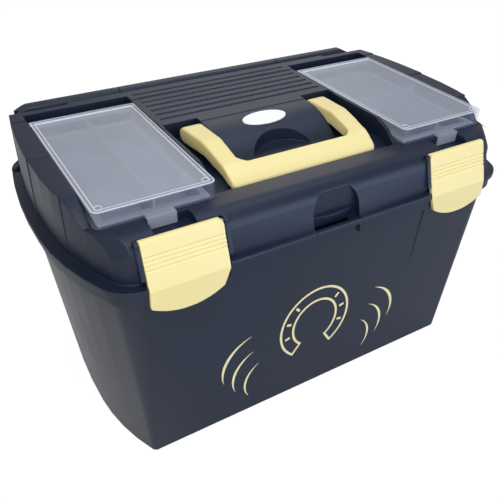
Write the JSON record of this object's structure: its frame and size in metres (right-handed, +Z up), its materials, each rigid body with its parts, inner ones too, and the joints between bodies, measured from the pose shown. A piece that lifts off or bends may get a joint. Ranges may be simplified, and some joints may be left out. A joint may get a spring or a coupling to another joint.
{
  "type": "horse grooming box",
  "caption": "Moulded grooming box with a drafted tub, hinged hooded lid, folding handle, clip latches, clear lid compartments and a lift-out tray.",
  "frame": {"origin": "on the ground, under the middle of the box", "axes": "+X to the right along the length, +Y to the hinge side, +Z up"},
  "size_m": [0.4, 0.244, 0.2385],
  "materials": {
    "navy_plastic": "satin",
    "cream_plastic": "satin",
    "frosted_plastic": "frosted",
    "grey_plastic": "satin",
    "white_plastic": "gloss",
    "steel_wire": "drawn"
  },
  "bodies": {
    "tub": {"tub": "navy_plastic", "hinge_rod": "steel_wire", "lift_out_tray": "navy_plastic"},
    "lid": {"lid": "navy_plastic", "left_handle_pin": "steel_wire", "right_handle_pin": "steel_wire", "left_latch_pin": "steel_wire", "right_latch_pin": "steel_wire", "left_cover_pin": "steel_wire", "right_cover_pin": "steel_wire", "left_insert": "grey_plastic", "right_insert": "grey_plastic", "oval_badge": "white_plastic"},
    "handle": {"carry_handle": "cream_plastic"},
    "left_latch": {"left_latch": "cream_plastic"},
    "right_latch": {"right_latch": "cream_plastic"},
    "left_cover": {"left_cover": "frosted_plastic"},
    "right_cover": {"right_cover": "frosted_plastic"}
  },
  "joints": [
    {"name": "lid_hinge", "type": "hinge", "parent": "tub", "child": "lid", "pos_m": [0, 0.106, 0.232], "axis": [-1, 0, 0], "range_deg": [0, 100]},
    {"name": "handle_fold", "type": "hinge", "parent": "lid", "child": "handle", "pos_m": [0, -0.001, 0.229], "axis": [-1, 0, 0], "range_deg": [0, 90]},
    {"name": "left_latch_swing", "type": "hinge", "parent": "lid", "child": "left_latch", "pos_m": [0, -0.10959, 0.21438], "axis": [-1, 0, 0], "range_deg": [0, 100]},
    {"name": "right_latch_swing", "type": "hinge", "parent": "lid", "child": "right_latch", "pos_m": [0, -0.10959, 0.21438], "axis": [-1, 0, 0], "range_deg": [0, 100]},
    {"name": "left_cover_hinge", "type": "hinge", "parent": "lid", "child": "left_cover", "pos_m": [0, 0.0655, 0.2346], "axis": [-1, 0, 0], "range_deg": [0, 105]},
    {"name": "right_cover_hinge", "type": "hinge", "parent": "lid", "child": "right_cover", "pos_m": [0, 0.0655, 0.2346], "axis": [-1, 0, 0], "range_deg": [0, 105]}
  ]
}
